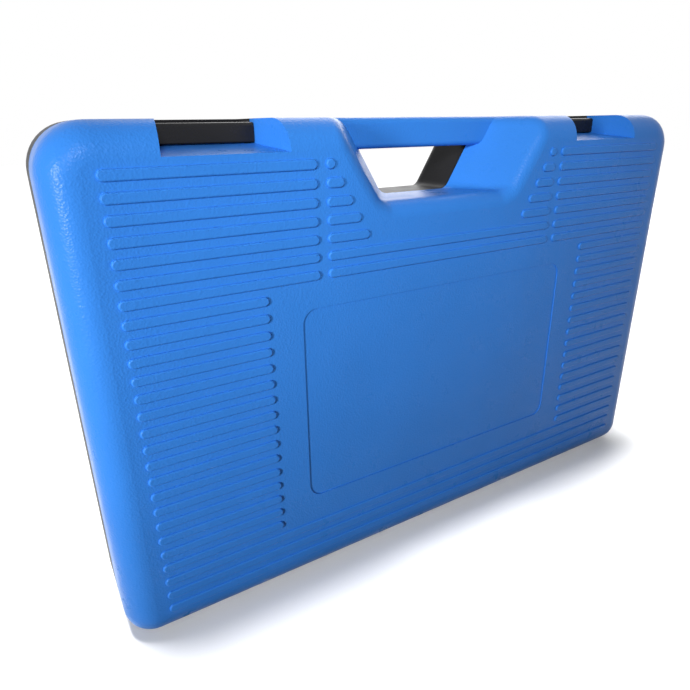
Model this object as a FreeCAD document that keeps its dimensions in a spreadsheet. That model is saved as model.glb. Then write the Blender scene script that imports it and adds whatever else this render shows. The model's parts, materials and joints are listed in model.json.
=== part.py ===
"""Socket wrench set in a two-shell carrying case.

Millimetres. X runs along the hinge, Y from the lid (front, negative) to the base (rear, positive) and Z up.
The closed case stands on its hinge edge: the origin is the middle of its underside, in the seam plane.
"""
import FreeCAD
import Part
import math
import os
import re

Vector = FreeCAD.Vector

# Driving dimensions
SIZES = {
    "case_width": 500.0,
    "case_height": 320.0,
    "shell_depth": 44.0,
    "seam_gap": 0.6,
    "wall": 3.0,
    "top_corner": 27.0,
    "bottom_corner": 20.0,
    "edge_round": 18.0,
    "rib_pitch": 10.9,
    "rib_width": 6.0,
    "rib_height": 1.4,
    "rib_edge": 1.1,
    "rib_top_inset": 25.4,
    "rib_end_inset": 25.8,
    "rib_upper_rows": 7,
    "rib_slant_rows": 5,
    "rib_full_rows": 3,
    "rib_foot_inset": 21.0,
    "rib_upper_inner": 104.6,
    "rib_centre_outer": 98.7,
    "rib_side_inner": 140.0,
    "rib_slant_end": 92.5,
    "rib_slant_step": 6.03,
    "panel_width": 236.0,
    "panel_height": 140.0,
    "panel_base": 68.0,
    "panel_corner": 10.0,
    "panel_sink": 0.8,
    "recess_depth": 50.8,
    "recess_floor_front": 59.7,
    "recess_top_front": 92.5,
    "recess_floor_seam": 29.5,
    "recess_top_seam": 60.9,
    "recess_corner": 9.0,
    "crest_round": 11.0,
    "rim_clearance": 3.2,
    "bar_height": 19.9,
    "bar_depth": 9.0,
    "bar_round": 4.0,
    "latch_inset": 93.5,
    "notch_front_width": 72.0,
    "notch_floor": 14.0,
    "notch_fall": 4.0,
    "latch_width": 59.0,
    "latch_clearance": 0.4,
    "latch_reach": 7.0,
    "latch_thickness": 2.6,
    "latch_drop": 2.0,
    "latch_brow": 2.1,
    "latch_edge": 0.8,
    "latch_lip": 1.2,
    "latch_lip_height": 2.0,
    "latch_barrel": 5.0,
    "latch_pin_back": 14.0,
    "latch_pin_diameter": 3.0,
    "latch_pin_hold": 2.6,
    "latch_pocket_back": 22.5,
    "catch_thickness": 2.6,
    "catch_height": 5.5,
    "pivot_height": 7.0,
    "knuckle_radius": 5.0,
    "knuckle_length": 60.0,
    "knuckle_count": 7,
    "knuckle_gap": 0.6,
    "hinge_pin_diameter": 4.0,
    "pin_clearance": 0.1,
    "rail_depth": 16.0,
    "rail_height": 15.0,
    "groove_angle": 55.5,
    "catch_gap": 0.3,
    "fit": 0.4,
    "overcut": 4.0,
    "liner_gap": 1.6,
    "liner_thickness": 2.0,
    "post_radius": 5.0,
    "post_end_inset": 60.0,
    "post_foot_inset": 50.0,
    "post_top_inset": 90.0,
    "screw_diameter": 3.0,
    "screw_length": 12.0,
    "screw_head_radius": 3.2,
    "screw_head_height": 1.2,
    "screw_slot_width": 0.8,
    "deck_rise": 12.0,
    "deck_thickness": 2.5,
    "skirt_thickness": 2.5,
    "tool_margin": 35.0,
    "seat_gap": 0.3,
    "half_drive": 12.7,
    "half_socket_length": 38.0,
    "half_socket_neck": 22.0,
    "half_socket_pitch": 38.0,
    "half_row_upper": 168.0,
    "half_row_lower": 124.0,
    "quarter_drive": 6.35,
    "quarter_socket_length": 25.0,
    "quarter_socket_neck": 12.0,
    "quarter_socket_pitch": 21.0,
    "quarter_row_drop": 40.0,
    "socket_growth": 1.3,
    "socket_wall": 1.3,
    "drive_clearance": 0.2,
    "half_head_radius": 19.0,
    "half_head_thickness": 17.0,
    "half_square_length": 14.0,
    "half_reach": 235.0,
    "half_grip_length": 120.0,
    "half_grip_radius": 12.5,
    "half_rod_radius": 6.0,
    "half_neck_width": 16.0,
    "half_gear_radius": 11.5,
    "half_tooth_depth": 1.2,
    "half_pawl_radius": 6.5,
    "half_pawl_clear": 1.5,
    "half_cover_thickness": 2.2,
    "half_button_radius": 3.4,
    "half_button_rise": 2.5,
    "half_lever_length": 15.0,
    "half_screw_radius": 1.2,
    "half_ball_radius": 1.6,
    "quarter_head_radius": 12.0,
    "quarter_head_thickness": 12.0,
    "quarter_square_length": 9.0,
    "quarter_reach": 140.0,
    "quarter_grip_length": 72.0,
    "quarter_grip_radius": 9.0,
    "quarter_rod_radius": 4.0,
    "quarter_neck_width": 10.0,
    "quarter_gear_radius": 7.0,
    "quarter_tooth_depth": 0.8,
    "quarter_pawl_radius": 4.0,
    "quarter_pawl_clear": 1.1,
    "quarter_cover_thickness": 1.6,
    "quarter_button_radius": 2.0,
    "quarter_button_rise": 2.0,
    "quarter_lever_length": 9.0,
    "quarter_screw_radius": 0.8,
    "quarter_ball_radius": 0.9,
    "gear_teeth": 24,
    "drive_share": 0.4,
    "nose_share": 0.6,
    "mouth_share": 0.45,
    "waist_share": 0.42,
    "screw_angle": 45.0,
    "ball_sunk": 0.6,
    "collar_share": 1.42,
    "screw_head_share": 1.8,
    "ring_lift": 0.06,
    "ring_share": 0.2,
    "head_floor": 3.0,
    "ratchet_drop": 31.0,
    "half_extension_length": 125.0,
    "half_extension_radius": 6.5,
    "half_extension_end": 11.0,
    "quarter_extension_length": 100.0,
    "quarter_extension_radius": 3.4,
    "quarter_extension_end": 6.0,
    "half_extension_row": 168.0,
    "quarter_ratchet_row": 133.0,
    "spinner_row": 106.0,
    "spinner_length": 150.0,
    "spinner_grip_length": 92.0,
    "spinner_grip_radius": 11.0,
    "spinner_shaft_radius": 3.5,
    "flute_count": 8,
    "flute_radius": 2.8,
    "flute_margin": 14.0,
    "plug_row": 68.0,
    "plug_length": 65.0,
    "plug_pitch": 72.0,
    "plug_mouth": 19.5,
    "tee_row": 44.0,
    "tee_length": 250.0,
    "tee_bar_radius": 6.0,
    "tee_slider_length": 22.0,
    "tee_slider_width": 21.0,
    "tee_travel": 70.0,
    "tee_dimple": 1.0,
}

doc = FreeCAD.newDocument("socket_set_case")
sheet = doc.addObject("Spreadsheet::Sheet", "Sizes")
for row, (alias, value) in enumerate(SIZES.items(), start=1):
    sheet.set(f"A{row}", alias.replace("_", " "))
    sheet.set(f"B{row}", str(value))
    sheet.setAlias(f"B{row}", alias)
doc.recompute()

nodes = []


# Helpers for sizes
def full(formula):
    """A formula in size names, with each name pointed at its cell."""
    def pointed(word):
        return "Sizes." + word[0] if word[0] in SIZES else word[0]

    return re.sub(r"[a-z][a-z0-9_]*", pointed, str(formula))


def size(formula):
    """The number that a formula in size names comes to."""
    return float(sheet.evalExpression(full(formula).replace("Sizes.", "")))


def bind(item, **formulas):
    """Tie properties of an object to formulas; two underscores stand for a dot."""
    for name, formula in formulas.items():
        item.setExpression(name.replace("__", "."), full(formula))
    return item


def node(item, label):
    """Give a finished sub-part the name of its file."""
    item.Label = label
    nodes.append(item)
    return item


# Helpers for primitives and booleans
def place(item, x, y, z):
    return bind(item, Placement__Base__x=x, Placement__Base__y=y, Placement__Base__z=z)


def turn(item, axis, angle):
    """Turn an object about an axis through its own origin."""
    item.Placement = FreeCAD.Placement(item.Placement.Base, FreeCAD.Rotation(axis, angle))
    return item


def box(name, spans):
    """A box from three (low, high) pairs of formulas, in X, Y and Z."""
    item = doc.addObject("Part::Box", name)
    (x0, x1), (y0, y1), (z0, z1) = spans
    bind(item, Length=f"({x1}) - ({x0})", Width=f"({y1}) - ({y0})", Height=f"({z1}) - ({z0})")
    return place(item, x0, y0, z0)


AXIS_TURNS = {"x": (Vector(0, 1, 0), 90), "y": (Vector(1, 0, 0), -90), "z": (Vector(0, 0, 1), 0)}


def cylinder(name, radius, length, axis, x, y, z):
    """A cylinder that starts at a point and runs along +X, +Y or +Z."""
    item = doc.addObject("Part::Cylinder", name)
    bind(item, Radius=radius, Height=length)
    turn(item, *AXIS_TURNS[axis])
    return place(item, x, y, z)


def fuse(name, items):
    item = doc.addObject("Part::MultiFuse", name)
    item.Shapes = items
    return item


def cut(name, base, tools):
    item = doc.addObject("Part::Cut", name)
    item.Base = base
    item.Tool = tools[0] if len(tools) == 1 else fuse(name + "_tools", tools)
    return item


# Helpers for bodies
def new_body(name):
    return doc.addObject("PartDesign::Body", name)


def new_sketch(body, plane, offset=0):
    """A sketch on one of the body's own origin planes, moved along that plane's normal."""
    sketch = body.newObject("Sketcher::SketchObject", body.Name + "_sketch")
    support = [item for item in body.Origin.OriginFeatures if item.Role == plane][0]
    sketch.AttachmentSupport = [(support, "")]
    sketch.MapMode = "FlatFace"
    return bind(sketch, AttachmentOffset__Base__z=offset)


def draw(sketch, corners):
    """Draw a closed outline; each corner is (across, up, rounding radius)."""
    points = [Vector(across, up, 0) for across, up, radius in corners]
    starts, ends, arcs = [], [], []
    for index, point in enumerate(points):
        radius = corners[index][2]
        back = (points[index - 1] - point).normalize()
        ahead = (points[(index + 1) % len(points)] - point).normalize()
        half = back.getAngle(ahead) / 2
        trim = radius / math.tan(half)
        starts.append(point + back * trim)
        ends.append(point + ahead * trim)
        middle = (back + ahead).normalize() * (radius / math.sin(half) - radius)
        arcs.append(Part.Arc(starts[-1], point + middle, ends[-1]) if radius > 0 else None)
    geometry = []
    for index, arc in enumerate(arcs):
        if arc:
            geometry.append(arc)
        start, end = ends[index], starts[(index + 1) % len(points)]
        if start.distanceToPoint(end) > 1e-6:
            geometry.append(Part.LineSegment(start, end))
    sketch.addGeometry(geometry)
    return sketch


def pad(body, sketch, length, reverse=False):
    item = body.newObject("PartDesign::Pad", body.Name + "_pad")
    item.Profile = sketch
    item.Reversed = reverse
    return bind(item, Length=length)


def pocket(body, sketch, length, reverse=False):
    item = body.newObject("PartDesign::Pocket", body.Name + "_pocket")
    item.Profile = sketch
    item.Reversed = reverse
    return bind(item, Length=length)


def loft_cut(body, first, others):
    item = body.newObject("PartDesign::SubtractiveLoft", body.Name + "_loft")
    item.Profile = first
    item.Sections = others
    item.Ruled = True
    return item


def fillet(body, base, radius, chosen):
    """Round the edges of a feature that a test picks out."""
    doc.recompute()
    names = [f"Edge{number}" for number, edge in enumerate(base.Shape.Edges, start=1) if chosen(edge)]
    item = body.newObject("PartDesign::Fillet", body.Name + "_fillet")
    item.Base = (base, names)
    return bind(item, Radius=radius)


def all_at(edge, axis, value):
    """True if every part of an edge lies at one coordinate."""
    bound = edge.BoundBox
    low, high = getattr(bound, axis + "Min"), getattr(bound, axis + "Max")
    return abs(low - value) < 0.01 and abs(high - value) < 0.01


# Case shells
def case_outline(inset=0.0, foot=0.0):
    """The rounded front outline of the case, drawn in from its edge and cut off above its foot."""
    half = size("case_width / 2") - inset
    top = size("case_height") - inset
    upper = max(size("top_corner") - inset, size("wall"))
    lower = max(size("bottom_corner") - inset, size("wall"))
    base = max(inset, foot)
    return [(-half, base, lower), (half, base, lower), (half, top, upper), (-half, top, upper)]


def recess_outline(depth, grow=0.0):
    """The handle opening's outline at a distance from the seam, grown by a wall."""
    share = depth / size("shell_depth")
    floor = size("recess_floor_seam") + share * size("recess_floor_front - recess_floor_seam")
    top = size("recess_top_seam") + share * size("recess_top_front - recess_top_seam")
    drop = size("recess_depth")
    slope = (top - floor) / drop
    over = size("top_corner")
    level = size("case_height") - drop - grow
    side = grow * math.hypot(1, slope) - grow * slope
    corner = size("recess_corner") + grow
    low, high = floor + side, floor + side + slope * (drop + grow + over)
    ceiling = level + grow + drop + over
    return [(-low, level, corner), (low, level, corner), (high, ceiling, 0), (-high, ceiling, 0)]


def side_of(name):
    """+1 for the base, which lies behind the seam, and -1 for the lid."""
    return 1 if name.startswith("base") else -1


def cut_recess(name, body, grow):
    """The opening for the hand, from past the seam to past the outer face; it flares in the lid alone."""
    over = size("overcut")
    side = side_of(name)
    sections = []
    for depth in (-over, size("shell_depth") + over):
        sketch = new_sketch(body, "XZ_Plane", -side * depth)
        sections.append(draw(sketch, recess_outline(depth if side < 0 else 0.0, grow)))
    return loft_cut(body, sections[0], sections[1:])


def shell_blank(name, inset, start, depth, rounding):
    """A rounded block on one side of the seam, with its outer edge rounded."""
    body = new_body(name)
    side = side_of(name)
    sketch = draw(new_sketch(body, "XZ_Plane", f"{-side} * ({start})"), case_outline(inset))
    block = pad(body, sketch, f"({depth}) - ({start})", reverse=side > 0)
    level = side * size(depth)
    return body, fillet(body, block, rounding, lambda edge: all_at(edge, "Y", level))


def is_crest(edge, outer, inset):
    """True for the rim of the hand opening, where it meets the outer face, the rounded edge and the top.

    The face is that of a block inset from the case's outside, and the opening is grown as much.
    """
    bound = edge.BoundBox
    top = size("case_height") - inset
    if max(abs(bound.XMin), abs(bound.XMax)) > size("recess_top_front") + 2 * inset:
        return False
    if bound.ZMin < size("case_height - recess_depth - wall") - inset:
        return False
    outermost = max(abs(bound.YMin), abs(bound.YMax))
    near = size("wall / 10")
    on_face = all_at(edge, "Y", outer)
    on_top = all_at(edge, "Z", top)
    round_the_edge = abs(outermost - abs(outer)) < near and top - bound.ZMax < near
    return on_face or on_top or round_the_edge


def add_bar(name, body):
    """The shell's half of the carrying bar, across the top of the hand opening."""
    side = side_of(name)
    reach = size("recess_top_seam + bar_height")
    top, low = size("case_height"), size("case_height - bar_height")
    seam, outer, rounding = side * size("seam_gap / 2"), side * size("bar_depth"), size("bar_round")
    sketch = new_sketch(body, "YZ_Plane", -reach)
    draw(sketch, [(seam, low, 0), (outer, low, rounding), (outer, top, rounding), (seam, top, 0)])
    return pad(body, sketch, 2 * reach)


def latch_centres():
    half = size("case_width / 2 - latch_inset")
    return [-half, half]


def cut_notches(name, body, grow):
    """The lid's finger notches in front of the latches, or the base's pockets for them, grown by a wall."""
    over = size("overcut")
    depth = size("shell_depth")
    reach = size("latch_reach")
    inner = size("latch_width / 2 + latch_clearance") + grow
    outer = size("notch_front_width / 2") + grow
    past = outer + (outer - inner) * over / (depth - reach)
    floor, ceiling = size("case_height - notch_floor") - grow, size("case_height + top_corner")
    fall = size("notch_fall") * (depth + over - reach) / (depth - reach)
    for centre in latch_centres():
        if side_of(name) < 0:
            sections = []
            places = ((-over, inner, floor), (reach, inner, floor), (depth + over, past, floor - fall))
            for along, half, level in places:
                sketch = new_sketch(body, "XZ_Plane", along)
                corners = [(-half, level), (half, level), (half, ceiling), (-half, ceiling)]
                sections.append(draw(sketch, [(centre + across, up, 0) for across, up in corners]))
            feature = loft_cut(body, sections[0], sections[1:])
        else:
            sketch = new_sketch(body, "XY_Plane", floor)
            back = size("latch_pocket_back") + grow
            corners = [(-inner, -over), (inner, -over), (inner, back), (-inner, back)]
            draw(sketch, [(centre + across, along, 0) for across, along in corners])
            feature = pocket(body, sketch, ceiling - floor, reverse=True)
    return feature


def rib_ends():
    """Height and the two ends of every raised rib on a face."""
    pitch, first = size("rib_pitch"), size("case_height - rib_top_inset")
    outer, inner = size("case_width / 2 - rib_end_inset"), size("rib_upper_inner")
    rows = int((first - size("rib_foot_inset")) / pitch) + 1
    upper, whole = int(size("rib_upper_rows")), int(size("rib_full_rows"))
    ribs = []
    for row in range(rows):
        level = first - pitch * row
        if row < upper:
            spans = [(inner, outer)]
            if row < size("rib_slant_rows"):
                spans.append((size("rib_slant_end") - size("rib_slant_step") * row, size("rib_centre_outer")))
            else:
                ribs.append((level, -size("rib_centre_outer"), size("rib_centre_outer")))
        elif row < rows - whole:
            spans = [(size("rib_side_inner"), outer)]
        else:
            spans = []
            ribs.append((level, -outer, outer))
        for near, far in spans:
            ribs.append((level, near, far))
            ribs.append((level, -far, -near))
    return ribs


def draw_slot(sketch, left, right, level, half):
    """Draw a bar with round ends along the sketch's first axis."""
    low, high = level - half, level + half
    near, far = left + half, right - half
    lower = Part.LineSegment(Vector(near, low, 0), Vector(far, low, 0))
    upper = Part.LineSegment(Vector(far, high, 0), Vector(near, high, 0))
    end = Part.Arc(Vector(far, low, 0), Vector(right, level, 0), Vector(far, high, 0))
    start = Part.Arc(Vector(near, high, 0), Vector(left, level, 0), Vector(near, low, 0))
    sketch.addGeometry([lower, end, upper, start] if far - near > size("rib_edge / 10") else [end, start])


def face_ribs(name):
    """Raised ribs with round ends, rooted in the outer wall."""
    body = new_body(name)
    side = side_of(name)
    sketch = new_sketch(body, "XZ_Plane", f"{-side} * (shell_depth - wall / 2)")
    for level, left, right in rib_ends():
        draw_slot(sketch, left, right, level, size("rib_width / 2"))
    ribs = pad(body, sketch, "rib_height + wall / 2", reverse=side > 0)
    crown = side * size("shell_depth + rib_height")
    fillet(body, ribs, "rib_edge", lambda edge: all_at(edge, "Y", crown))
    return body


def add_panel(name, body):
    """The plain panel in the middle of the face: sunk in the lid, raised to the ribs on the base."""
    side = side_of(name)
    half, base, corner = size("panel_width / 2"), size("panel_base"), size("panel_corner")
    top = base + size("panel_height")
    sketch = new_sketch(body, "XZ_Plane", f"{-side} * shell_depth")
    draw(sketch, [(-half, base, corner), (half, base, corner), (half, top, corner), (-half, top, corner)])
    if side < 0:
        return pocket(body, sketch, "panel_sink")
    return pad(body, sketch, "rib_height", reverse=True)


def shell_outer(name):
    """The outside of one shell as a solid block, with everything that is moulded on its face."""
    body, blank = shell_blank(name, 0.0, "seam_gap / 2", "shell_depth", "edge_round")
    recess = cut_recess(name, body, 0.0)
    outer = side_of(name) * size("shell_depth")
    fillet(body, recess, "crest_round", lambda edge: is_crest(edge, outer, 0.0))
    add_bar(name, body)
    cut_notches(name, body, 0.0)
    add_panel(name, body)
    return body


def shell_cavity(name):
    """The space inside one shell, open at the seam."""
    wall = size("wall")
    body, blank = shell_blank(name, wall, "-wall", "shell_depth - wall", "edge_round - wall")
    recess = cut_recess(name, body, wall)
    outer = side_of(name) * size("shell_depth - wall")
    fillet(body, recess, "crest_round - wall", lambda edge: is_crest(edge, outer, wall))
    cut_notches(name, body, wall)
    return body


# Hinge along the lower edge
def knuckle_spans(owner):
    """Ends along X of the knuckles that belong to the base (even ones) or the lid (odd ones)."""
    count, length = int(size("knuckle_count")), size("knuckle_length")
    first = -count * length / 2
    wanted = 0 if owner == "base" else 1
    starts = [first + length * index for index in range(count) if index % 2 == wanted]
    return [(start, start + length) for start in starts]


def hinge_rod(name, radius, start, end):
    return cylinder(name, radius, end - start, "x", start, 0, "pivot_height")


def hinge_groove():
    """A V along the underside that lets the two shells fold open."""
    body = new_body("hinge_groove")
    over = size("rib_height")
    apex = size("pivot_height")
    half = (apex + over) * math.tan(math.radians(size("groove_angle")))
    reach = size("case_width / 2") + over
    sketch = draw(new_sketch(body, "YZ_Plane", -reach), [(-half, -over, 0), (half, -over, 0), (0, apex, 0)])
    pad(body, sketch, 2 * reach)
    return body


groove = hinge_groove()
hinge_half = size("knuckle_count * knuckle_length / 2 - knuckle_gap * 5")


def hinge_bore(name):
    return hinge_rod(name, "hinge_pin_diameter / 2 + pin_clearance", -hinge_half, hinge_half)


def hinged_shell(owner, extras, holes):
    """A hollow shell with its half of the hinge, solids moulded into it, and holes drilled last."""
    other = "lid" if owner == "base" else "base"
    side = side_of(owner)
    seam, deep = ("-2 * wall", "rail_depth") if side > 0 else ("-rail_depth", "2 * wall")
    rail = box(owner + "_rail", [("-case_width / 2", "case_width / 2"), (seam, deep), ("0", "rail_height")])
    space = cut(owner + "_space", shell_cavity(owner + "_cavity"), [rail])
    blank = cut(owner + "_hollow", shell_outer(owner + "_outer"), [space])
    if extras:
        blank = fuse(owner + "_blank", [blank] + extras)
    room = "knuckle_radius + knuckle_gap"
    clear = [hinge_rod(owner + "_clear", room, *span) for span in knuckle_spans(other)]
    relieved = cut(owner + "_relieved", blank, [groove] + clear)
    gap = size("knuckle_gap / 2")
    knuckles = [hinge_rod(owner + "_knuckle", "knuckle_radius", start + gap, end - gap)
                for start, end in knuckle_spans(owner)]
    knuckled = fuse(owner + "_knuckled", [relieved] + knuckles)
    bored = cut(owner + "_bored", knuckled, [hinge_bore(owner + "_bore")] + holes)
    return fuse(owner + "_finished", [bored, face_ribs(owner + "_ribs")])


def hinge_pin():
    half = hinge_half - size("fit")
    return hinge_rod("hinge_pin", "hinge_pin_diameter / 2", -half, half)


# Lid
post_columns = ("post_end_inset - case_width / 2", "0", "case_width / 2 - post_end_inset")
post_rows = ("post_foot_inset", "case_height - post_top_inset")
post_places = [(x, z) for x in post_columns for z in post_rows]


def lid_shell():
    """The blue front shell, with the catches that its latches hook and the posts of its liner."""
    extras = []
    floor = "(case_height - notch_floor)"
    catch_front = "(latch_reach - latch_thickness - latch_lip - catch_gap)"
    half = "(latch_width / 2 - latch_barrel)"
    for centre in latch_centres():
        extras.append(box("catch", [(f"{centre} - {half}", f"{centre} + {half}"),
                                    (f"-{catch_front}", f"-{catch_front} + catch_thickness"),
                                    (f"{floor} - wall / 2", f"{floor} + catch_height")]))
    holes = []
    for x, z in post_places:
        length = "shell_depth - wall / 2 - liner_gap - liner_thickness"
        extras.append(cylinder("liner_post", "post_radius", length, "y", x, "-shell_depth + wall / 2", z))
        holes.append(cylinder("post_hole", "screw_diameter / 2 + pin_clearance", "screw_length", "y", x,
                              "-liner_gap - screw_length", z))
    return hinged_shell("lid", extras, holes)


def lid_liner():
    """The flat inner panel of the lid, seated on the posts."""
    body = new_body("liner_body")
    inset = size("wall + fit")
    sketch = draw(new_sketch(body, "XZ_Plane", "liner_gap"), case_outline(inset, size("rail_height + fit")))
    pad(body, sketch, "liner_thickness")
    cut_recess("liner_body", body, size("wall + rim_clearance"))
    cut_notches("liner_body", body, inset)
    reach = "liner_thickness + 2 * fit"
    holes = [cylinder("liner_hole", "screw_diameter / 2 + pin_clearance", reach, "y", x,
                      "-liner_gap - liner_thickness - fit", z) for x, z in post_places]
    return cut("liner_drilled", body, holes)


def slotted_screw(x, z):
    """One round-headed screw, its shank in a post and its head on the liner."""
    shank = cylinder("screw_shank", "screw_diameter / 2", "screw_length - fit", "y", x,
                     "-liner_gap - screw_length + fit", z)
    head = cylinder("screw_head", "screw_head_radius", "screw_head_height", "y", x, "-liner_gap", z)
    half = "screw_slot_width / 2"
    slot = box("screw_slot", [(f"{x} - {half}", f"{x} + {half}"),
                              ("-liner_gap + screw_head_height / 2", "0"),
                              (f"{z} - screw_head_radius - fit", f"{z} + screw_head_radius + fit")])
    return cut("screw", fuse("screw_blank", [shank, head]), [slot])


def liner_screws():
    group = doc.addObject("Part::Compound", "liner_screws")
    group.Links = [slotted_screw(x, z) for x, z in post_places]
    return group


# Base
def latch_rod(name, radius, centre, half):
    """A rod on a latch's pivot line, half a length each side of its centre."""
    height = "case_height - latch_drop - latch_barrel"
    return cylinder(name, radius, f"2 * ({half})", "x", f"{centre} - ({half})", "latch_pin_back", height)


pin_reach = "latch_width / 2 + latch_clearance + latch_pin_hold"


def base_shell():
    """The black rear shell, drilled for the latch pins."""
    holes = [latch_rod("latch_pin_hole", "latch_pin_diameter / 2 + pin_clearance / 2", centre, pin_reach)
             for centre in latch_centres()]
    return hinged_shell("base", [], holes)


def latch_pins():
    group = doc.addObject("Part::Compound", "latch_pins")
    group.Links = [latch_rod("latch_pin", "latch_pin_diameter / 2", centre, pin_reach + " - pin_clearance")
                   for centre in latch_centres()]
    return group


def latch(name, centre):
    """A hooked latch: barrel on the pin, top plate, front plate and inner lip."""
    body = new_body(name + "_body")
    top = size("case_height - latch_drop")
    plate, lip = size("latch_thickness"), size("latch_lip")
    front, back = -size("latch_reach"), size("latch_pin_back")
    low = size("case_height - notch_floor + latch_lip / 2")
    lip_top = low + size("latch_lip_height")
    sketch = new_sketch(body, "YZ_Plane", centre - size("latch_width / 2"))
    brow, edge = size("latch_brow"), size("latch_edge")
    draw(sketch, [(back, top - plate, 0), (back, top, 0), (front, top, brow), (front, low, edge),
                  (front + plate + lip, low, 0), (front + plate + lip, lip_top, 0),
                  (front + plate, lip_top + lip, 0), (front + plate, top - plate, edge)])
    pad(body, sketch, "latch_width")
    barrel = latch_rod(name + "_barrel", "latch_barrel", centre, "latch_width / 2")
    hole = "latch_pin_diameter / 2 + pin_clearance"
    bore = latch_rod(name + "_bore", hole, centre, "latch_width / 2 + fit")
    return cut(name + "_cut", fuse(name + "_solid", [body, barrel]), [bore])


# Tools: shared forms
REST = "(shell_depth - wall)"
DECK_FRONT = f"{REST} - deck_rise - deck_thickness - fit"


def prism(name, across, length, sides, x, y, z):
    """A regular prism along +Y, given by its width across flats."""
    item = doc.addObject("Part::Prism", name)
    item.Polygon = sides
    bind(item, Circumradius=f"({across}) / 2 / cos(180 deg / {sides})", Height=length)
    item.Placement = FreeCAD.Placement(Vector(), FreeCAD.Rotation(Vector(1, 0, 0), -90))
    return place(item, x, y, z)


def socket(name, kind, across, x, z):
    """A socket standing on the back wall: hexagon mouth towards the lid, square drive behind."""
    length = f"{kind}_socket_length"
    outer = f"({across} * socket_growth + 2 * socket_wall)"
    neck = f"{kind}_socket_neck / 2"
    start = f"{REST} - {length}"
    nose = cylinder(name + "_nose", f"{outer} / 2", f"{length} * nose_share", "y", x, start, z)
    tail_radius = f"max({neck}; {outer} / 2 - socket_wall / 2)"
    tail = cylinder(name + "_tail", tail_radius, f"{length} / 2", "y", x, f"{REST} - {length} / 2", z)
    deep = f"{length} * mouth_share + fit"
    mouth = prism(name + "_mouth", f"{across} + drive_clearance", deep, 6, x, f"{start} - fit", z)
    drive_depth = f"{length} * drive_share"
    waist_radius = f"min({across}; {kind}_drive) * waist_share"
    waist = cylinder(name + "_waist", waist_radius, drive_depth, "y", x, f"{start} + {drive_depth}", z)
    half = f"({kind}_drive + drive_clearance) / 2"
    depth = (f"{REST} - {drive_depth}", f"{REST} + fit")
    drive = box(name + "_drive", [about(x, half), depth, about(z, half)])
    return cut(name + "_cut", fuse(name + "_blank", [nose, tail]), [mouth, waist, drive])


def socket_hole(name, kind, across, x, z):
    """The tray's hole for a socket."""
    radius = f"max({kind}_socket_neck / 2; ({across} * socket_growth) / 2 + socket_wall) + fit"
    return deck_hole(name, radius, x, z)


def deck_hole(name, radius, x, z):
    return cylinder(name + "_hole", radius, "deck_rise + deck_thickness + 2 * fit", "y", x, DECK_FRONT, z)


def deck_slot(name, left, right, row, half):
    """The tray's slot for a tool that lies along X."""
    return box(name + "_slot", [(left, right), (DECK_FRONT, f"{REST} + fit"), about(row, half)])


def lying_rod(name, radius, length, x, y, z):
    return cylinder(name, radius, length, "x", x, y, z)


def about(middle, half):
    """The two ends of a span, half a width each side of its middle."""
    return f"{middle} - ({half})", f"{middle} + ({half})"


# Ratchets
GRIP_RING_SHARES = (0.12, 0.24, 0.76, 0.88)


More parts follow.
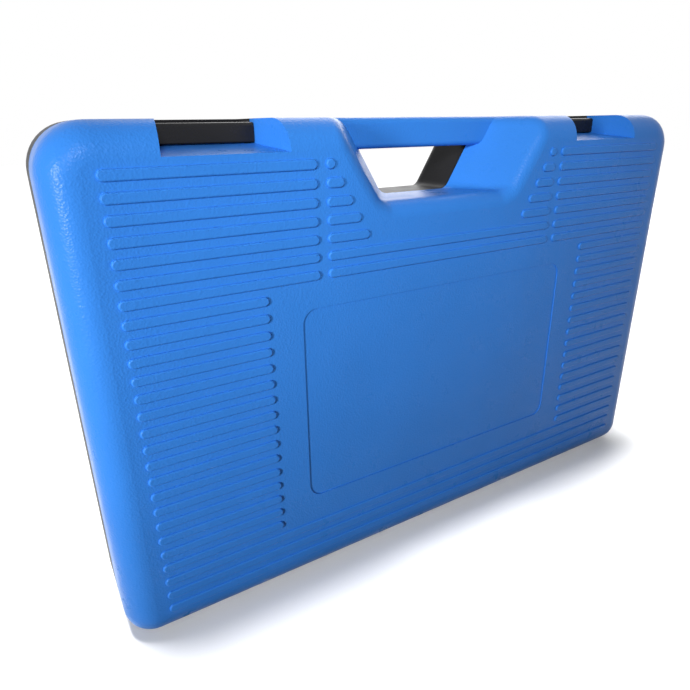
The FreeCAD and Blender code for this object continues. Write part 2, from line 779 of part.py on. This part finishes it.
class Ratchet:
    """One reversible ratchet, lying with its square towards the back wall and its handle along X."""

    def __init__(self, kind, x, z, heading):
        self.kind, self.x, self.z, self.heading = kind, x, z, heading
        self.back = f"({REST} - seat_gap - {kind}_square_length)"
        self.face = f"({self.back} - {kind}_head_thickness)"
        self.middle = f"({self.back} - {kind}_head_thickness / 2)"
        self.seat = f"({self.back} - head_floor - seat_gap)"
        self.pivot = f"({kind}_gear_radius + {kind}_pawl_radius - {kind}_pawl_clear)"
        self.lid = f"({self.face} + {kind}_cover_thickness)"

    def own(self, name):
        return f"{self.kind}_{name}"

    def along(self, distance):
        return f"{self.x} + ({self.heading}) * ({distance})"

    def disc(self, name, radius, front, rear, distance="0", side="0"):
        """A disc between two depths, at a distance along the handle from the drive axis."""
        return cylinder(self.own(name), radius, f"({rear}) - ({front})", "y", self.along(distance), front,
                        f"{self.z} + ({side})")

    def bar(self, name, start, end, half, front, rear):
        """A flat bar along the handle between two distances from the drive axis."""
        near, far = (start, end) if self.heading > 0 else (end, start)
        return box(self.own(name), [(self.along(near), self.along(far)), (front, rear), about(self.z, half)])

    def rod(self, name, radius, start, end):
        near = self.along(start if self.heading > 0 else end)
        return lying_rod(self.own(name), radius, f"({end}) - ({start})", near, self.middle, self.z)

    def screw_places(self):
        ring = f"({self.cover_radius()} + {self.kind}_gear_radius) / 2"
        across, up = f"{ring} * cos(screw_angle * 1 deg)", f"{ring} * sin(screw_angle * 1 deg)"
        return [(f"-{across}", up), (f"-{across}", f"-{up}")]

    def body(self):
        """The forged head and neck, hollow for the gear and pawl, with the round end that holds the grip."""
        kind = self.kind
        grip = f"({kind}_reach - {kind}_grip_length)"
        head = self.disc("head", f"{kind}_head_radius", self.face, self.back)
        boss = self.disc("boss", self.boss_radius(), self.face, self.back, self.pivot)
        depth = about(self.middle, f"{kind}_rod_radius")
        neck = self.bar("neck", self.pivot, grip, f"{kind}_neck_width / 2", *depth)
        tang = self.rod("tang", f"{kind}_rod_radius", grip, f"{kind}_reach - {kind}_rod_radius")
        blank = fuse(self.own("ratchet_blank"), [head, boss, neck, tang])
        room = f"{kind}_gear_radius + fit"
        front, floor = f"{self.face} - fit", f"{self.back} - head_floor"
        holes = [self.disc("gear_room", room, front, floor),
                 self.disc("pawl_room", f"{kind}_pawl_radius + fit", front, floor, self.pivot),
                 self.disc("drive_room", self.collar_radius() + " + fit", self.face, f"{self.back} + fit"),
                 self.disc("cover_room", self.cover_radius() + " + seat_gap", front, self.lid),
                 self.disc("cover_nose", f"{self.tip_radius()} + seat_gap", front, self.lid, self.pivot)]
        for place_x, place_z in self.screw_places():
            holes.append(self.disc("screw_hole", f"{kind}_screw_radius + pin_clearance", self.lid,
                                   f"{self.lid} + head_floor * 2", place_x, place_z))
        return cut(self.own("ratchet_cut"), blank, holes)

    def cover_radius(self):
        return f"({self.kind}_head_radius - {self.kind}_cover_thickness)"

    def collar_radius(self):
        """The round collar that the drive square stands on, just wider than its corners."""
        return f"({self.kind}_drive / 2 * collar_share)"

    def tip_radius(self):
        """The rounded end of the cover, over the pawl."""
        return f"({self.kind}_pawl_radius + {self.kind}_cover_thickness)"

    def boss_radius(self):
        """The rounded end of the head, round the pawl."""
        return f"({self.kind}_pawl_radius + 2 * {self.kind}_cover_thickness)"

    def cover(self):
        """The plate over the gear, holed for the button, lever and screws."""
        kind = self.kind
        plate = [self.disc("cover_disc", self.cover_radius(), self.face, self.lid),
                 self.disc("cover_tip", self.tip_radius(), self.face, self.lid, self.pivot)]
        front, rear = f"{self.face} - fit", f"{self.lid} + fit"
        holes = [self.disc("button_way", f"{kind}_button_radius + seat_gap", front, rear),
                 self.disc("lever_way", f"{kind}_button_radius + seat_gap", front, rear, self.pivot)]
        for place_x, place_z in self.screw_places():
            way = f"{kind}_screw_radius + pin_clearance"
            holes.append(self.disc("cover_way", way, front, rear, place_x, place_z))
        return cut(self.own("cover_cut"), fuse(self.own("cover_blank"), plate), holes)

    def cover_screws(self):
        group = doc.addObject("Part::Compound", self.own("cover_screws"))
        radius = f"{self.kind}_screw_radius"
        screws = []
        for place_x, place_z in self.screw_places():
            end = f"{self.lid} + head_floor * 2 - fit"
            shank = self.disc("cover_shank", radius, self.face, end, place_x, place_z)
            top = f"{self.face} - {radius}"
            head = self.disc("cover_head", f"{radius} * screw_head_share", top, self.face, place_x, place_z)
            screws.append(fuse(self.own("cover_screw"), [shank, head]))
        group.Links = screws
        return group

    def gear(self):
        """The toothed drive gear with its square, bored for the release button and the detent ball."""
        kind = self.kind
        teeth = int(size("gear_teeth"))
        tip, root = size(f"{kind}_gear_radius"), size(f"{kind}_gear_radius - {kind}_tooth_depth")
        centre_x, centre_z = size(self.x), size(self.z)
        body = new_body(self.own("gear_body"))
        sketch = new_sketch(body, "XZ_Plane", f"-({self.seat})")
        corners = []
        for step in range(2 * teeth):
            angle = math.pi * step / teeth
            radius = root if step % 2 else tip
            corners.append((centre_x + radius * math.cos(angle), centre_z + radius * math.sin(angle), 0))
        draw(sketch, corners)
        pad(body, sketch, f"({self.seat}) - ({self.lid}) - seat_gap")
        half = f"{kind}_drive / 2"
        collar = self.disc("collar", self.collar_radius(), self.seat, self.back)
        depth = (self.seat, f"{REST} - seat_gap")
        square = box(self.own("square"), [about(self.x, half), depth, about(self.z, half)])
        bore = self.disc("button_bore", f"{kind}_button_radius + seat_gap", f"{self.lid}",
                         f"{self.lid} + {kind}_button_rise * 3")
        ball_hole = cylinder(self.own("ball_hole"), f"{kind}_ball_radius + pin_clearance",
                             f"{kind}_ball_radius * 2", "z", self.x, self.ball_depth(),
                             f"{self.z} + {half} - {kind}_ball_radius * (1 + ball_sunk)")
        blank = fuse(self.own("gear_blank"), [body, collar, square])
        return cut(self.own("gear_cut"), blank, [bore, ball_hole])

    def ball_depth(self):
        return f"({REST} - seat_gap - {self.kind}_square_length * drive_share)"

    def ball(self):
        """The detent ball, showing a little past one flat of the square."""
        item = doc.addObject("Part::Sphere", self.own("ball"))
        radius = f"{self.kind}_ball_radius"
        bind(item, Radius=radius)
        height = f"{self.z} + {self.kind}_drive / 2 - {radius} * ball_sunk"
        return place(item, self.x, self.ball_depth(), height)

    def pawl(self):
        """The rocking pawl: a disc hollowed to follow the gear."""
        kind = self.kind
        front = f"{self.lid} + seat_gap"
        disc = self.disc("pawl_disc", f"{kind}_pawl_radius", front, self.seat, self.pivot)
        hollow = self.disc("pawl_hollow", f"{kind}_gear_radius + {kind}_pawl_clear", f"{front} - fit",
                           f"{self.seat} + fit")
        return cut(self.own("pawl_cut"), disc, [hollow])

    def lever(self):
        """The direction lever on the cover, with a thumb tab."""
        kind = self.kind
        thick = f"{kind}_cover_thickness"
        rear = f"{self.face} - seat_gap"
        front = f"{rear} - {thick}"
        shaft = self.disc("lever_shaft", f"{kind}_button_radius", front, self.lid, self.pivot)
        hub = self.disc("lever_hub", f"{kind}_button_radius * 1.5", front, rear, self.pivot)
        half, end = f"{kind}_button_radius", f"{self.pivot} + {kind}_lever_length"
        arm = self.bar("lever_arm", self.pivot, end, half, front, rear)
        tab = self.disc("lever_tab", half, f"{front} - {thick} / 2", rear, end)
        return fuse(self.own("lever_solid"), [shaft, hub, arm, tab])

    def button(self):
        """The quick-release button in the middle of the cover."""
        kind = self.kind
        rise = f"{kind}_button_rise"
        end = f"{self.lid} + {rise} * 1.5"
        stem = self.disc("button_stem", f"{kind}_button_radius", f"{self.face} - {rise}", end)
        rounding = doc.addObject("Part::Fillet", self.own("button_round"))
        rounding.Base = stem
        doc.recompute()
        lead = size(f"{rise} / 3")
        ends = [number for number, edge in enumerate(stem.Shape.Edges, start=1)
                if all_at(edge, "Y", size(f"{self.face} - {rise}"))]
        rounding.Edges = [(number, lead, lead) for number in ends]
        return rounding

    def grip(self):
        """The moulded handle sleeve, waisted by shallow rings."""
        kind = self.kind
        start = f"({kind}_reach - {kind}_grip_length)"
        sleeve = self.rod("sleeve", f"{kind}_grip_radius", start, f"{kind}_reach")
        bore = self.rod("sleeve_bore", f"{kind}_rod_radius + pin_clearance / 2", f"{start} - fit",
                        f"{kind}_reach - {kind}_rod_radius + pin_clearance")
        rings = []
        for share in GRIP_RING_SHARES:
            ring = doc.addObject("Part::Torus", self.own("ring"))
            radius = f"{kind}_grip_radius"
            bind(ring, Radius1=f"{radius} * (1 + ring_lift)", Radius2=f"{radius} * ring_share")
            turn(ring, *AXIS_TURNS["x"])
            distance = f"{start} + {kind}_grip_length * {share}"
            rings.append(place(ring, self.along(distance), self.middle, self.z))
        return cut(self.own("grip_cut"), sleeve, [bore] + rings)

    def tray_holes(self):
        """Room in the tray for the head, neck and grip."""
        kind = self.kind
        near, far = ("0", f"{kind}_reach + fit") if self.heading > 0 else (f"{kind}_reach + fit", "0")
        half = f"{kind}_grip_radius + fit"
        return [deck_hole(self.own("head"), f"{kind}_head_radius + fit", self.x, self.z),
                deck_hole(self.own("boss"), f"{self.boss_radius()} + fit", self.along(self.pivot), self.z),
                deck_slot(self.own("grip"), self.along(near), self.along(far), self.z, half)]

    def add_nodes(self):
        pieces = (("body", self.body), ("grip", self.grip), ("cover", self.cover),
                  ("cover_screws", self.cover_screws), ("drive_gear", self.gear), ("detent_ball", self.ball),
                  ("pawl", self.pawl), ("direction_lever", self.lever), ("release_button", self.button))
        for label, make in pieces:
            node(make(), f"{self.kind}_ratchet_{label}")


# Long tools, lying along X on the back wall
RIGHT_END = "(case_width / 2 - tool_margin)"
LEFT_END = "(-case_width / 2 + tool_margin)"


def square_end(name, kind, length, x, y, z):
    """A male square along +X."""
    half = f"{kind}_drive / 2"
    return box(name, [(x, f"{x} + ({length})"), about(y, half), about(z, half)])


def extension(kind, row):
    """An extension bar: male square, shank and a thicker end with a female square."""
    name = f"{kind}_extension"
    end, length = f"{name}_end", f"{name}_length"
    y = f"({REST} - seat_gap - {end})"
    start = f"({RIGHT_END} - {length})"
    square_length = f"{kind}_square_length"
    square = square_end(name + "_square", kind, f"{square_length} + fit", start, y, row)
    shoulder = f"{start} + {square_length}"
    collar = lying_rod(name + "_collar", f"{end} - socket_wall", end, shoulder, y, row)
    shank = lying_rod(name + "_shank", f"{name}_radius", f"{length} - {square_length}", shoulder, y, row)
    head_length = f"({square_length} + {end})"
    head = lying_rod(name + "_head", end, head_length, f"{RIGHT_END} - {head_length}", y, row)
    hole_start = f"({RIGHT_END} - {square_length})"
    hole = square_end(name + "_hole", kind, f"{square_length} + fit", hole_start, y, row)
    node(cut(name + "_cut", fuse(name + "_blank", [square, collar, shank, head]), [hole]), name + "_bar")
    return deck_slot(name, f"{start} - fit", f"{RIGHT_END} + fit", row, f"{end} + fit")


def spinner():
    """The quarter-inch screwdriver-style handle: shaft with a square, and a fluted grip."""
    row, radius = "spinner_row", "spinner_grip_radius"
    y = f"({REST} - seat_gap - {radius})"
    start = f"({RIGHT_END} - spinner_length)"
    seat = f"({RIGHT_END} - spinner_grip_length)"
    square = square_end("spinner_square", "quarter", "quarter_square_length + fit", start, y, row)
    shoulder = f"{start} + quarter_square_length"
    shaft_length = "spinner_length - spinner_grip_length / 2 - quarter_square_length"
    shaft = lying_rod("spinner_rod", "spinner_shaft_radius", shaft_length, shoulder, y, row)
    collar = lying_rod("spinner_collar", "quarter_extension_end", "quarter_drive", shoulder, y, row)
    node(fuse("spinner_steel", [square, shaft, collar]), "spinner_shaft")
    sleeve = lying_rod("spinner_sleeve", radius, "spinner_grip_length", seat, y, row)
    bore = lying_rod("spinner_bore", "spinner_shaft_radius + pin_clearance / 2",
                     "spinner_grip_length / 2 + fit + pin_clearance", f"{seat} - fit", y, row)
    flutes = []
    flute_count = int(size("flute_count"))
    flute_start, flute_length = f"{seat} + flute_margin", "spinner_grip_length - 2 * flute_margin"
    for step in range(flute_count):
        angle = f"({360 * step / flute_count} deg)"
        ring = f"({radius} + flute_radius / 2)"
        flutes.append(lying_rod("flute", "flute_radius", flute_length, flute_start,
                                f"{y} + {ring} * cos({angle})", f"{row} + {ring} * sin({angle})"))
    node(cut("spinner_grip_cut", sleeve, [bore] + flutes), "spinner_grip")
    return deck_slot("spinner", f"{start} - fit", f"{RIGHT_END} + fit", row, f"{radius} + fit")


def plug_socket(across, place_number):
    """A long spark plug socket, lying with its mouth to the left."""
    name = f"plug_socket_{across}mm"
    radius = f"({across} * socket_growth / 2 + socket_wall)"
    y = f"({REST} - seat_gap - {radius})"
    end = f"({RIGHT_END} - plug_pitch * {place_number})"
    start = f"({end} - plug_length)"
    tube = lying_rod(name + "_tube", radius, "plug_length", start, y, "plug_row")
    bore_length = "plug_length - half_square_length - socket_wall * 2"
    bore_radius = f"{across} / 2 - drive_clearance"
    bore = lying_rod(name + "_bore", bore_radius, bore_length, f"{start} - fit", y, "plug_row")
    mouth = prism(name + "_mouth", across, "plug_mouth", 6, 0, 0, 0)
    turn(mouth, *AXIS_TURNS["x"])
    place(mouth, f"{start} - fit", y, "plug_row")
    drive_start = f"({end} - half_square_length)"
    drive = square_end(name + "_drive", "half", "half_square_length + fit", drive_start, y, "plug_row")
    node(cut(name + "_cut", tube, [bore, mouth, drive]), name)
    return deck_slot(name, f"{start} - fit", f"{end} + fit", "plug_row", f"{radius} + fit")


def tee_handle():
    """The sliding T-handle: a bar that lies on the tray, and a drive head that slides along it."""
    y = f"({REST} - deck_rise - deck_thickness - seat_gap / 3 - tee_bar_radius)"
    middle = f"({LEFT_END} + tee_length / 2)"
    bar = lying_rod("tee_rod", "tee_bar_radius", "tee_length", LEFT_END, y, "tee_row")
    grooves = []
    for end in (f"({LEFT_END} + tee_bar_radius * 2)", f"({LEFT_END} + tee_length - tee_bar_radius * 3)"):
        outer, inner = "tee_bar_radius + tee_dimple", "tee_bar_radius - tee_dimple"
        around = lying_rod("tee_around", outer, "tee_bar_radius / 2", end, y, "tee_row")
        core = lying_rod("tee_core", inner, "tee_bar_radius", f"{end} - tee_dimple", y, "tee_row")
        grooves.append(cut("tee_groove", around, [core]))
    node(cut("tee_bar_cut", bar, grooves), "tee_bar")
    half = "tee_slider_width / 2"
    block = box("tee_block", [about(middle, "tee_slider_length / 2"), about(y, half), about("tee_row", half)])
    side = "half_drive / 2"
    square = box("tee_square", [about(middle, side), (y, f"{REST} - seat_gap"), about("tee_row", side)])
    bore = lying_rod("tee_bore", "tee_bar_radius + seat_gap", "tee_slider_length + 2 * fit",
                     f"{middle} - tee_slider_length / 2 - fit", y, "tee_row")
    node(cut("tee_slider_cut", fuse("tee_slider_blank", [block, square]), [bore]), "tee_slider")
    room = "tee_travel + tee_slider_length / 2 + 2 * fit"
    return deck_slot("tee", *about(middle, room), "tee_row", f"{half} + 2 * fit")


# Tool tray
def tool_tray(holes):
    """A deck with a cut-out for every tool, on a skirt that stands on the base's back wall."""
    body = new_body("base_tray")
    inset = size("wall + fit")
    foot = size("edge_round + fit")
    skirt = new_sketch(body, "XZ_Plane", f"-({REST} - deck_rise)")
    draw(skirt, case_outline(foot))
    draw(skirt, case_outline(foot + size("skirt_thickness")))
    pad(body, skirt, "deck_rise", reverse=True)
    cut_recess("base_tray", body, size("crest_round"))
    deck = draw(new_sketch(body, "XZ_Plane", f"-({REST} - deck_rise)"), case_outline(inset))
    pad(body, deck, "deck_thickness")
    cut_recess("base_tray", body, size("wall + rim_clearance"))
    cut_notches("base_tray", body, inset)
    return cut("tray_cut", body, holes)


# The case
for make in (lid_shell, base_shell, hinge_pin, lid_liner, liner_screws, latch_pins):
    node(make(), make.__name__)
for label, centre in zip(("latch_left", "latch_right"), latch_centres()):
    node(latch(label, centre), label)

# Its contents
HALF_SIZES = (10, 11, 12, 13, 14, 15, 17, 19, 21, 22, 24)
HALF_UPPER_COUNT = 6
QUARTER_SIZES = (4, 5, 6, 7, 8, 9, 10, 11, 12, 13)
QUARTER_SIDE_COUNT = 5
tray_holes = []
ratchet_row = "(case_height - recess_depth - ratchet_drop)"
for ratchet in (Ratchet("half", f"({LEFT_END} + half_head_radius)", ratchet_row, 1),
                Ratchet("quarter", f"({RIGHT_END} - quarter_head_radius)", "quarter_ratchet_row", -1)):
    ratchet.add_nodes()
    tray_holes += ratchet.tray_holes()
for index, across in enumerate(HALF_SIZES):
    upper = index < HALF_UPPER_COUNT
    column = index if upper else index - HALF_UPPER_COUNT
    x = f"({LEFT_END} + half_socket_pitch * ({column} + 0.5) - socket_wall)"
    z = "half_row_upper" if upper else "half_row_lower"
    node(socket(f"half_{across}", "half", across, x, z), f"half_socket_{across}mm")
    tray_holes.append(socket_hole(f"half_{across}", "half", across, x, z))
for index, across in enumerate(QUARTER_SIZES):
    left = index < QUARTER_SIDE_COUNT
    column = index if left else index - QUARTER_SIDE_COUNT
    across_row = f"quarter_socket_pitch * {column}"
    x = f"({LEFT_END} + {across_row})" if left else f"({RIGHT_END} - {across_row})"
    z = "(case_height - quarter_row_drop)"
    node(socket(f"quarter_{across}", "quarter", across, x, z), f"quarter_socket_{across}mm")
    tray_holes.append(socket_hole(f"quarter_{across}", "quarter", across, x, z))
PLUG_SIZES = (21, 16)
tray_holes += [extension("half", "half_extension_row"), extension("quarter", ratchet_row)]
tray_holes += [spinner(), tee_handle()]
tray_holes += [plug_socket(across, number) for number, across in enumerate(PLUG_SIZES)]
node(tool_tray(tray_holes), "tool_tray")

# Check and write
doc.recompute()
faults = [item.Name for item in doc.Objects if "Invalid" in item.State or "Error" in item.State]
assert not faults, faults
os.makedirs("parts", exist_ok=True)
for item in nodes:
    assert not item.Shape.isNull() and item.Shape.isValid(), item.Label
    print(item.Label, len(item.Shape.Solids), round(item.Shape.Volume), item.Shape.BoundBox)
    item.Shape.exportStep(f"parts/{item.Label}.step")
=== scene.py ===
"""Looks of the socket wrench set in its case: camera, studio and a procedural finish for every node."""
import json
import math

import bpy
from mathutils import Matrix, Vector

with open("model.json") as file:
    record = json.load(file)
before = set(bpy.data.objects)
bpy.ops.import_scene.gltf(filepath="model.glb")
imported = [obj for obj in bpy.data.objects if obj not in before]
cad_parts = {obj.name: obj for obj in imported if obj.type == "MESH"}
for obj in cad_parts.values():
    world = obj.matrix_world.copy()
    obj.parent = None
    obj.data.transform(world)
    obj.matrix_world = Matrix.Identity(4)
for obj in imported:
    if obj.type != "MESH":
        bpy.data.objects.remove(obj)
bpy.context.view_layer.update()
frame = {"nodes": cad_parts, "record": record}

# Camera, from the photograph's vanishing lines, in metres and degrees
PHOTO_WIDTH = 690.0
FOCAL_PIXELS = 557.38
SENSOR_MM = 36.0
CLIP_START = 0.01
CAMERA_PLACE = Vector((-0.2639, -0.3423, 0.3153))
CAMERA_YAW = 30.5626
CAMERA_PITCH = 21.5096
CAMERA_ROLL = -0.9065

# Plastics: display colour, roughness, specular level, and the grain's width and depth in metres
BLUE = (56, 135, 229)
BLACK = (30, 30, 33)
GREY = (54, 55, 59)
PLASTICS = {
    "blue_plastic": {"colour": BLUE, "roughness": 0.3, "shine": 0.13, "grain": 0.0013, "depth": 0.0004},
    "black_plastic": {"colour": BLACK, "roughness": 0.42, "shine": 0.1, "grain": 0.0012, "depth": 0.0002},
    "latch_plastic": {"colour": BLACK, "roughness": 0.25, "shine": 0.2, "grain": 0.0016, "depth": 0.00005},
    "grey_plastic": {"colour": GREY, "roughness": 0.48, "shine": 0.3, "grain": 0.0014, "depth": 0.0001},
    "grip_rubber": {"colour": BLACK, "roughness": 0.55, "shine": 0.3, "grain": 0.0009, "depth": 0.00012},
}
GRAIN_STRENGTH = 0.6
WRINKLE_SHARE = 1.7
CLOUD_SIZE = 0.07
CLOUD_SPAN = (0.3, 0.7)
CLOUD_SHADE = 0.93
RUB_SIZE = 0.02
RUB_SPAN = (0.3, 0.75)
RUB_SMOOTHER = 0.05
RUB_ROUGHER = 0.08

# Metals: linear colour, roughness, and strength of the turning marks
METALS = {
    "chrome": {"colour": (0.72, 0.73, 0.75), "roughness": 0.08, "marks": 0.1},
    "steel": {"colour": (0.46, 0.46, 0.47), "roughness": 0.26, "marks": 0.3},
}
MARK_SIZE = 0.0011
MARK_DEPTH = 0.00005
SMUDGE_SIZE = 0.016
SMUDGE_SPAN = (0.35, 0.7)
SMUDGE_ROUGHER = 0.14

# Studio
WHITE = (1.0, 1.0, 1.0, 1.0)
AMBIENT = 0.06
BACKGROUND = 1.0
FLOOR_REACH = 6.0
FLOOR_PALE = (0.9, 0.9, 0.9, 1.0)
FLOOR_DARK = (0.06, 0.06, 0.06, 1.0)
FLOOR_GLOW = 0.12

# Places of the colour sockets on a mix node
MIX_FIRST = 6
MIX_SECOND = 7
MIX_RESULT = 2


def camera_rotation():
    """Rows are the camera's right, down and forward directions."""
    level = Matrix(((1, 0, 0), (0, 0, -1), (0, 1, 0)))
    yaw = Matrix.Rotation(math.radians(CAMERA_YAW), 3, "Z")
    pitch = Matrix.Rotation(math.radians(CAMERA_PITCH), 3, "X")
    roll = Matrix.Rotation(math.radians(CAMERA_ROLL), 3, "Z")
    return roll @ pitch @ level @ yaw


def add_camera():
    data = bpy.data.cameras.new("camera")
    data.sensor_width = SENSOR_MM
    data.lens = SENSOR_MM * FOCAL_PIXELS / PHOTO_WIDTH
    data.clip_start = CLIP_START
    camera = bpy.data.objects.new("camera", data)
    right, down, forward = camera_rotation()
    axes = Matrix((right, -down, -forward)).transposed()
    camera.matrix_world = Matrix.Translation(CAMERA_PLACE) @ axes.to_4x4()
    bpy.context.scene.collection.objects.link(camera)
    bpy.context.scene.camera = camera


# Node helpers
def new_material(name):
    material = bpy.data.materials.new(name)
    material.use_nodes = True
    tree = material.node_tree
    return material, tree, tree.nodes["Principled BSDF"]


def add_node(tree, kind, inputs=None, **settings):
    """A node with its properties set, and its inputs linked or given a value."""
    item = tree.nodes.new(kind)
    for key, value in settings.items():
        setattr(item, key, value)
    for key, value in (inputs or {}).items():
        if isinstance(value, bpy.types.NodeSocket):
            tree.links.new(value, item.inputs[key])
        else:
            item.inputs[key].default_value = value
    return item


def place_on_piece(tree):
    """Position in metres, fixed to the piece."""
    return add_node(tree, "ShaderNodeTexCoord").outputs["Object"]


def noise(tree, where, size, detail, roughness=0.55):
    inputs = {"Vector": where, "Scale": 1 / size, "Detail": detail, "Roughness": roughness}
    return add_node(tree, "ShaderNodeTexNoise", inputs).outputs["Fac"]


def spread(tree, value, span, start, end):
    """A value mapped from one span to another, held at the ends."""
    inputs = {"Value": value, "From Min": span[0], "From Max": span[1], "To Min": start, "To Max": end}
    return add_node(tree, "ShaderNodeMapRange", inputs).outputs["Result"]


def blend(tree, share, first, second):
    """A colour between two colours."""
    item = add_node(tree, "ShaderNodeMix", data_type="RGBA")
    tree.links.new(share, item.inputs["Factor"])
    item.inputs[MIX_FIRST].default_value = (*first, 1.0)
    item.inputs[MIX_SECOND].default_value = (*second, 1.0)
    return item.outputs[MIX_RESULT]


def calculate(tree, operation, first, second):
    return add_node(tree, "ShaderNodeMath", {0: first, 1: second}, operation=operation).outputs[0]


def roughen(tree, shader, height, strength, depth):
    """Bumps on a shader's surface."""
    bump = add_node(tree, "ShaderNodeBump", {"Height": height, "Strength": strength, "Distance": depth})
    tree.links.new(bump.outputs["Normal"], shader.inputs["Normal"])


def linear(red, green, blue):
    """Linear colour from eight-bit display values."""
    shares = [value / 255 for value in (red, green, blue)]
    return tuple(share / 12.92 if share <= 0.04045 else ((share + 0.055) / 1.055) ** 2.4 for share in shares)


# Finishes
def moulded_plastic(name, colour, roughness, shine, grain, depth):
    """Grained moulded plastic: irregular cells like fine leather, cloudy colour and uneven gloss."""
    material, tree, shader = new_material(name)
    where = place_on_piece(tree)
    cells = add_node(tree, "ShaderNodeTexVoronoi", {"Vector": where, "Scale": 1 / grain})
    wrinkles = noise(tree, where, grain * WRINKLE_SHARE, detail=2.0)
    height = calculate(tree, "MULTIPLY", cells.outputs["Distance"], wrinkles)
    roughen(tree, shader, height, GRAIN_STRENGTH, depth)
    full = linear(*colour)
    deeper = tuple(CLOUD_SHADE * value for value in full)
    cloud = spread(tree, noise(tree, where, CLOUD_SIZE, detail=4.0), CLOUD_SPAN, 0.0, 1.0)
    tree.links.new(blend(tree, cloud, deeper, full), shader.inputs["Base Color"])
    rub = noise(tree, where, RUB_SIZE, detail=5.0, roughness=0.65)
    uneven = spread(tree, rub, RUB_SPAN, roughness - RUB_SMOOTHER, roughness + RUB_ROUGHER)
    tree.links.new(uneven, shader.inputs["Roughness"])
    shader.inputs["Specular IOR Level"].default_value = shine
    return material


def plated_steel(name, colour, roughness, marks):
    """Metal with faint turning marks, and fingerprints in its gloss."""
    material, tree, shader = new_material(name)
    where = place_on_piece(tree)
    smudge = noise(tree, where, SMUDGE_SIZE, detail=4.0)
    uneven = spread(tree, smudge, SMUDGE_SPAN, roughness, roughness + SMUDGE_ROUGHER)
    tree.links.new(uneven, shader.inputs["Roughness"])
    roughen(tree, shader, noise(tree, where, MARK_SIZE, detail=2.0), marks, MARK_DEPTH)
    shader.inputs["Base Color"].default_value = (*colour, 1.0)
    shader.inputs["Metallic"].default_value = 1.0
    return material


def dress_nodes():
    """Give each node the finish of its material slot."""
    made = {name: moulded_plastic(name, **look) for name, look in PLASTICS.items()}
    made.update({name: plated_steel(name, **look) for name, look in METALS.items()})
    for row in frame["record"]["subparts"]:
        piece = frame["nodes"][row["node"]]
        piece.data.materials.clear()
        piece.data.materials.append(made[row["material_slot"]])


# Studio pieces
def show_directly(tree, unseen, seen, output):
    """One shader for what the camera, gloss or glass sees, and another for light on a matt surface."""
    path = add_node(tree, "ShaderNodeLightPath")
    share = path.outputs["Is Camera Ray"]
    for ray in ("Is Glossy Ray", "Is Transmission Ray"):
        share = calculate(tree, "MAXIMUM", share, path.outputs[ray])
    mixed = add_node(tree, "ShaderNodeMixShader", {0: share, 1: unseen.outputs[0], 2: seen.outputs[0]})
    tree.links.new(mixed.outputs[0], tree.nodes[output].inputs["Surface"])


def add_world():
    world = bpy.data.worlds.new("studio")
    world.use_nodes = True
    bpy.context.scene.world = world
    tree = world.node_tree
    light = tree.nodes["Background"]
    light.inputs["Color"].default_value = WHITE
    light.inputs["Strength"].default_value = AMBIENT
    shown = add_node(tree, "ShaderNodeBackground", {"Color": WHITE, "Strength": BACKGROUND})
    show_directly(tree, light, shown, "World Output")


def add_area(name, place, aim, width, height, beam, watts):
    """A rectangular lamp; the beam is its spread in degrees."""
    data = bpy.data.lights.new(name, "AREA")
    data.shape = "RECTANGLE"
    data.size = width
    data.size_y = height
    data.spread = math.radians(beam)
    data.energy = watts
    lamp = bpy.data.objects.new(name, data)
    lamp.location = place
    lamp.rotation_euler = (Vector(aim) - Vector(place)).to_track_quat("-Z", "Y").to_euler()
    bpy.context.scene.collection.objects.link(lamp)


def add_sun(name, source, angle, strength, lit):
    """A distant soft lamp that lights one object alone; the others only throw their shadows on it."""
    data = bpy.data.lights.new(name, "SUN")
    data.angle = math.radians(angle)
    data.energy = strength
    lamp = bpy.data.objects.new(name, data)
    lamp.rotation_euler = Vector(source).to_track_quat("Z", "Y").to_euler()
    bpy.context.scene.collection.objects.link(lamp)
    lamp.light_linking.receiver_collection = bpy.data.collections.new(name)
    lamp.light_linking.receiver_collection.objects.link(lit)


def add_floor():
    """White where it is seen, with the shadow of the case on it, and dark to the light it throws back."""
    mesh = bpy.data.meshes.new("floor")
    reach = FLOOR_REACH
    corners = [(-reach, -reach, 0), (reach, -reach, 0), (reach, reach, 0), (-reach, reach, 0)]
    mesh.from_pydata(corners, [], [(0, 1, 2, 3)])
    floor = bpy.data.objects.new("floor", mesh)
    bpy.context.scene.collection.objects.link(floor)
    material, tree, dark = new_material("floor_white")
    dark.inputs["Base Color"].default_value = FLOOR_DARK
    dark.inputs["Specular IOR Level"].default_value = 0.0
    matt = add_node(tree, "ShaderNodeBsdfDiffuse", {"Color": FLOOR_PALE})
    glow = add_node(tree, "ShaderNodeEmission", {"Color": WHITE, "Strength": FLOOR_GLOW})
    pale = add_node(tree, "ShaderNodeAddShader", {0: matt.outputs[0], 1: glow.outputs[0]})
    show_directly(tree, dark, pale, "Material Output")
    mesh.materials.append(material)
    return floor


add_camera()
add_world()
add_area(
    "key", place=(-0.8, -0.39, 0.32), aim=(-0.15, -0.04, 0.15),
    width=0.1, height=0.3, beam=52.0, watts=0.6,
)
add_area(
    "front_fill", place=(-0.456, -0.775, 0.72), aim=(-0.04, -0.04, 0.45),
    width=0.2, height=0.2, beam=44.7, watts=0.58,
)
add_area(
    "back_fill", place=(1.5, 1.6, 1.5), aim=(0.0, 0.0, 0.15),
    width=2.4, height=2.4, beam=150.0, watts=24.0,
)
add_sun("floor_light", source=(-0.06, 0.09, 1.0), angle=9.0, strength=3.4, lit=add_floor())
dress_nodes()
bpy.context.scene.view_settings.view_transform = "Standard"
